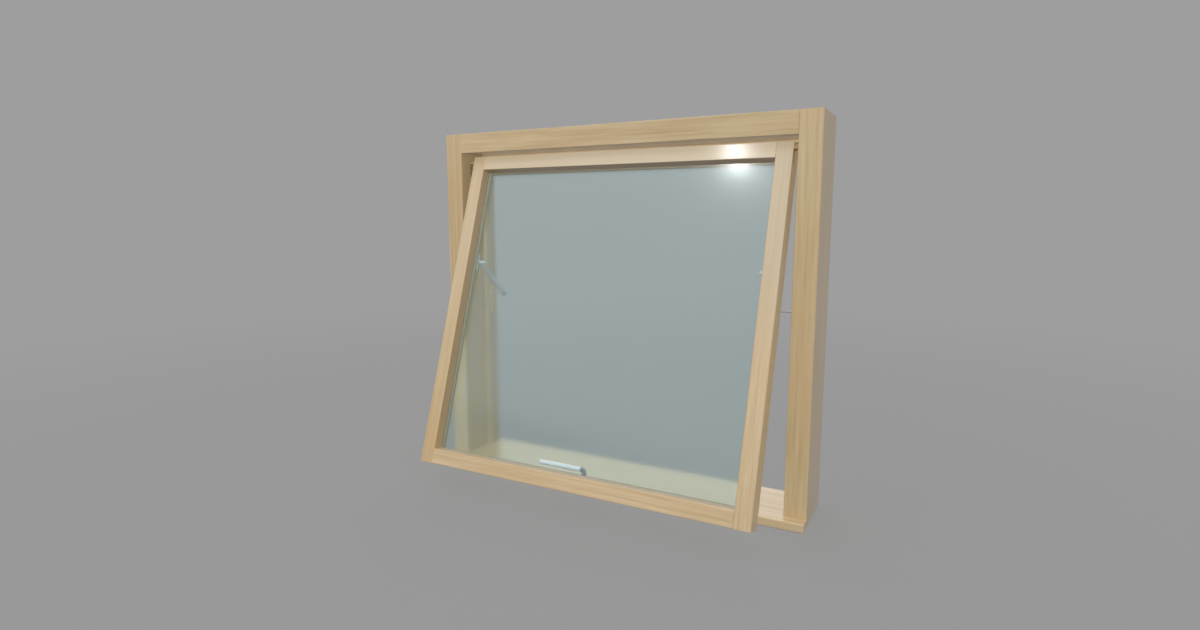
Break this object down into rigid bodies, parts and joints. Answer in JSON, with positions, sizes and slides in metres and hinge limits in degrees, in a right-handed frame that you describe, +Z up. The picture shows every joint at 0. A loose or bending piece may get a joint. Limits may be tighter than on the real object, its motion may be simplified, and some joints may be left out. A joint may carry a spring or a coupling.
{
  "type": "top hung awning window",
  "caption": "Timber top hung awning window: a glazed sash pivoted under the head of a deep frame with a projecting sill, held open by two side stays, with a lever handle indoors.",
  "frame": {"origin": "underside of the sill, at mid width, in line with the outdoor face of the jambs", "axes": "+Z up, +Y from outdoors to indoors, +X to the right seen from outdoors"},
  "size_m": [1, 0.3645, 0.915],
  "materials": {
    "frame_timber": "clear satin lacquer",
    "sash_timber": "clear satin lacquer",
    "glass": "pale blue grey",
    "seal": "matte beige",
    "steel": "satin",
    "pivot": "dull bronze",
    "spacer": "matte",
    "nylon": "matte",
    "handle": "bright satin"
  },
  "bodies": {
    "frame": {"frame_head": "frame_timber", "frame_jamb_left": "frame_timber", "frame_jamb_right": "frame_timber", "frame_sill": "frame_timber", "stop_head": "frame_timber", "stop_left": "frame_timber", "stop_right": "frame_timber", "seal_head": "seal", "seal_left": "seal", "seal_right": "seal", "jamb_pivot_left": "pivot", "jamb_pivot_right": "pivot", "stay_channel_left": "frame_timber", "stay_channel_right": "frame_timber"},
    "sash": {"sash_top_rail": "sash_timber", "sash_bottom_rail": "sash_timber", "sash_stile_left": "sash_timber", "sash_stile_right": "sash_timber", "glazing_bead_top": "sash_timber", "glazing_bead_bottom": "sash_timber", "glazing_bead_left": "sash_timber", "glazing_bead_right": "sash_timber", "glass_outer": "glass", "glass_inner": "glass", "glass_spacer": "spacer", "sash_pivot_left": "pivot", "sash_pivot_right": "pivot", "stay_bracket_left": "steel", "stay_bracket_right": "steel", "handle_base": "handle"},
    "stay_left": {"stay_arm_left": "steel", "stay_roller_left": "nylon"},
    "stay_right": {"stay_arm_right": "steel", "stay_roller_right": "nylon"},
    "handle": {"handle_lever": "handle"}
  },
  "joints": [
    {"name": "sash_hinge", "type": "hinge", "parent": "frame", "child": "sash", "pos_m": [0, 0.0418, 0.8395], "axis": [-1, 0, 0], "range_deg": [-17.9, 2.1]},
    {"name": "stay_left_pin", "type": "hinge", "parent": "sash", "child": "stay_left", "pos_m": [-0.392, 0.00354, 0.56812], "axis": [1, 0, 0], "range_deg": [-58.9, 7]},
    {"name": "stay_right_pin", "type": "hinge", "parent": "sash", "child": "stay_right", "pos_m": [0.392, 0.00354, 0.56812], "axis": [1, 0, 0], "range_deg": [-58.9, 7]},
    {"name": "handle_turn", "type": "hinge", "parent": "sash", "child": "handle", "pos_m": [0, -0.15663, 0.06279], "axis": [0, 0.9516, -0.3074], "range_deg": [0, 90]}
  ],
  "couplings": [
    {"joint": "stay_left_pin", "follows": "sash_hinge", "ratio": 3.29},
    {"joint": "stay_right_pin", "follows": "sash_hinge", "ratio": 3.29}
  ]
}
